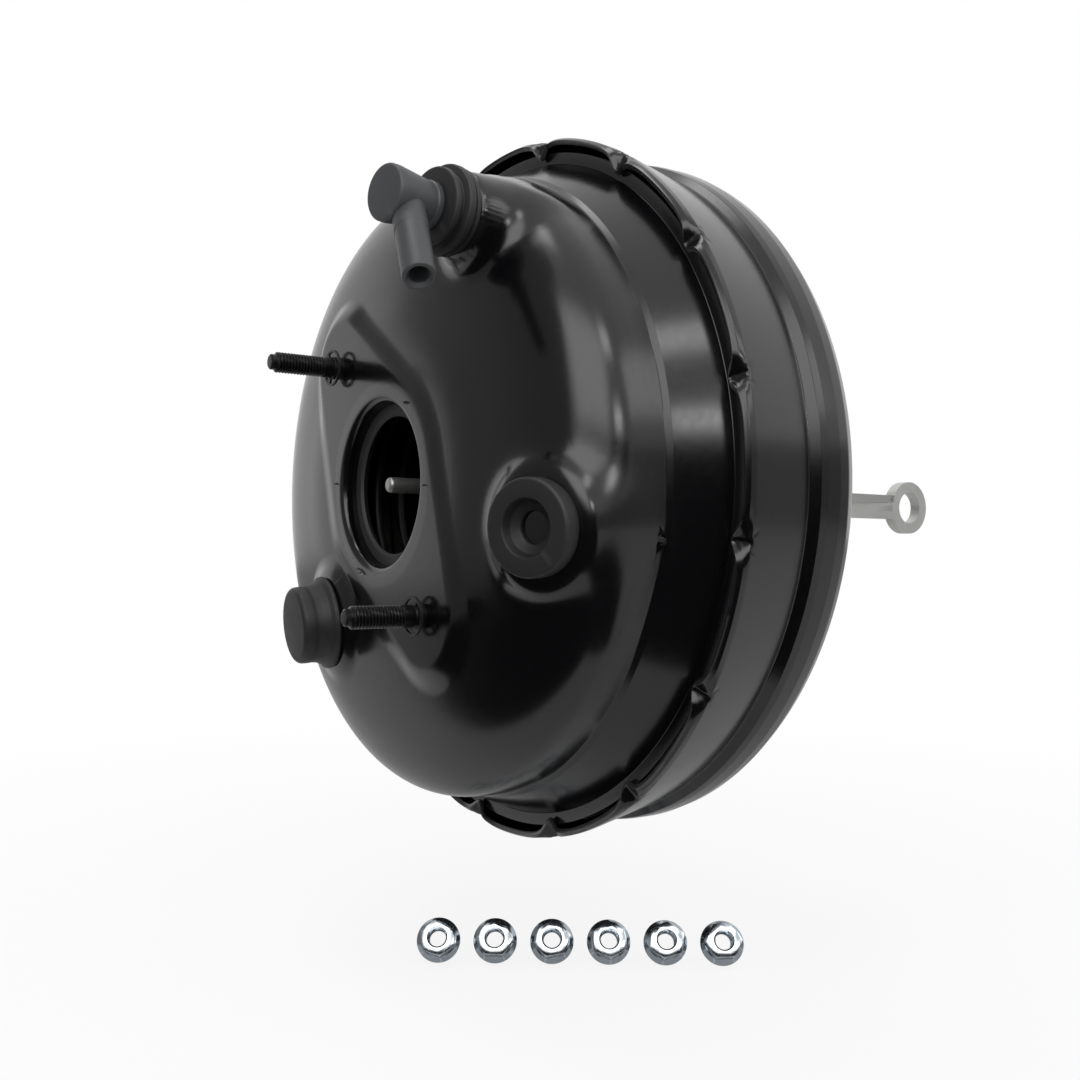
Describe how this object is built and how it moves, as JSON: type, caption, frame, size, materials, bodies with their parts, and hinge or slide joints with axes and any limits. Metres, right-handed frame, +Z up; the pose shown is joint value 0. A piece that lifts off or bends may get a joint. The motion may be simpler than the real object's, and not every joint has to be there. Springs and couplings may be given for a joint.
{
  "type": "vacuum brake booster",
  "caption": "Two-chamber vacuum brake booster with a crimped steel drum, elbow check valve, front and rear mounting studs, dust boot and eye push rod.",
  "frame": {"origin": "centre of the four rear studs, in the plane of the rear mounting face", "axes": "+Y out of the rear mounting face along the push rod, towards the pedal; -Y towards the master cylinder; +Z up; +X to the side that carries the check valve and the open port"},
  "size_m": [0.274, 0.3513, 0.3263],
  "materials": {
    "black_paint": "satin black paint",
    "dark_zinc": "black zinc plate",
    "plain_steel": "plain pressed steel",
    "rod_steel": "forged, zinc plated",
    "spring_steel": "phosphate coat",
    "bright_zinc": "bright zinc plate",
    "black_rubber": "moulded rubber",
    "dark_nylon": "glass filled nylon",
    "brown_resin": "moulded phenolic",
    "grey_foam": "open cell foam"
  },
  "bodies": {
    "housing": {"front_shell": "black_paint", "rear_shell": "black_paint", "housing_divider": "plain_steel", "divider_seal": "black_rubber", "front_seal": "black_rubber", "stud_plate": "dark_zinc", "cylinder_studs": "dark_zinc", "stud_retaining_rings": "dark_zinc", "firewall_studs": "dark_zinc", "rear_bearing": "dark_nylon", "dust_boot": "black_rubber", "valve_grommet": "black_rubber", "port_grommet": "black_rubber", "port_plug": "black_rubber", "return_spring": "spring_steel", "mounting_nuts": "bright_zinc"},
    "power_piston": {"valve_body": "brown_resin", "primary_plate": "plain_steel", "secondary_plate": "plain_steel", "primary_diaphragm": "black_rubber", "secondary_diaphragm": "black_rubber", "plate_retainer": "plain_steel", "reaction_disc": "black_rubber", "reaction_retainer": "plain_steel", "output_rod": "rod_steel", "stop_key": "plain_steel", "poppet_valve": "black_rubber", "poppet_spring": "spring_steel", "rod_spring": "spring_steel", "spring_cup": "plain_steel", "air_filter": "grey_foam", "air_silencer": "grey_foam"},
    "air_valve_plunger": {"air_valve": "plain_steel"},
    "input_rod": {"operating_rod": "rod_steel"},
    "check_valve": {"check_valve_body": "dark_nylon", "check_valve_seat": "dark_nylon", "check_valve_spring": "spring_steel"},
    "check_disc": {"check_valve_disc": "black_rubber"}
  },
  "joints": [
    {"name": "piston_stroke", "type": "slide", "parent": "housing", "child": "power_piston", "axis": [0, -1, 0], "range_m": [0, 0.028], "stiffness_N_per_m": 3000, "springref_m": -0.02, "deforming": ["return_spring", "primary_diaphragm", "secondary_diaphragm", "dust_boot"]},
    {"name": "valve_stroke", "type": "slide", "parent": "power_piston", "child": "air_valve_plunger", "axis": [0, -1, 0], "range_m": [0, 0.0012], "stiffness_N_per_m": 1500, "springref_m": -0.005, "deforming": ["rod_spring", "poppet_valve", "poppet_spring"]},
    {"name": "rod_swing", "type": "hinge", "parent": "air_valve_plunger", "child": "input_rod", "pos_m": [0, -0.012, 0], "axis": [1, 0, 0], "range_deg": [-3, 3], "deforming": ["rod_spring", "dust_boot"]},
    {"name": "valve_turn", "type": "hinge", "parent": "housing", "child": "check_valve", "pos_m": [0.059, -0.125, 0.088], "axis": [0.1699, -0.9848, 0.0361], "continuous": true},
    {"name": "disc_lift", "type": "slide", "parent": "check_valve", "child": "check_disc", "axis": [0.1699, -0.9848, 0.0361], "range_m": [0, 0.0015], "stiffness_N_per_m": 30, "springref_m": -0.002, "deforming": ["check_valve_spring"]}
  ]
}
